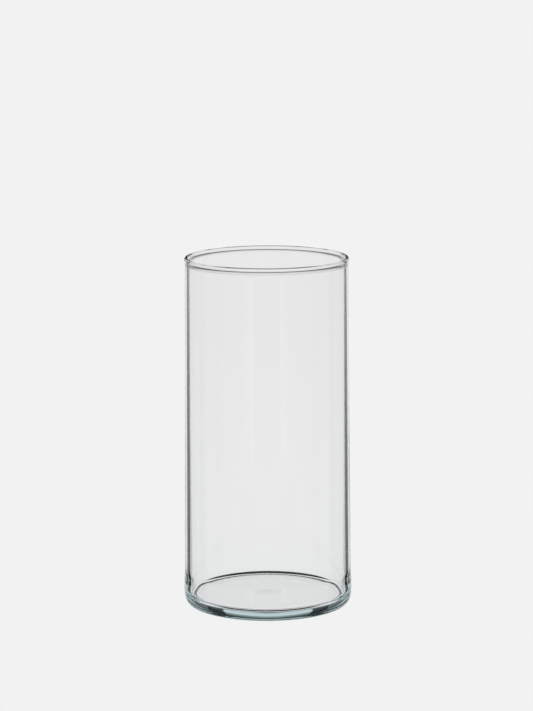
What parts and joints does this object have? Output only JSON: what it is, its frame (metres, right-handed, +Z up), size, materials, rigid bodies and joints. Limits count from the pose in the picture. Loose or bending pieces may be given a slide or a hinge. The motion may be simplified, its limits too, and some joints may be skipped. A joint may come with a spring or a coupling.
{
  "type": "glass cylinder vase",
  "caption": "Straight-sided clear glass cylinder vase with a fire-polished rim and a thick flat base, for standing cut flowers in water.",
  "frame": {"origin": "centre of the flat underside that the vase stands on", "axes": "+Z up the vase's axis, towards the mouth; X and Y are any two level directions, because the vase is round"},
  "size_m": [0.0964, 0.0964, 0.2],
  "materials": {
    "clear_glass": "clear soda-lime glass, fire-polished, with a faint green-blue cast that shows in the thick base"
  },
  "bodies": {
    "root": {"vase": "clear_glass"}
  },
  "joints": []
}
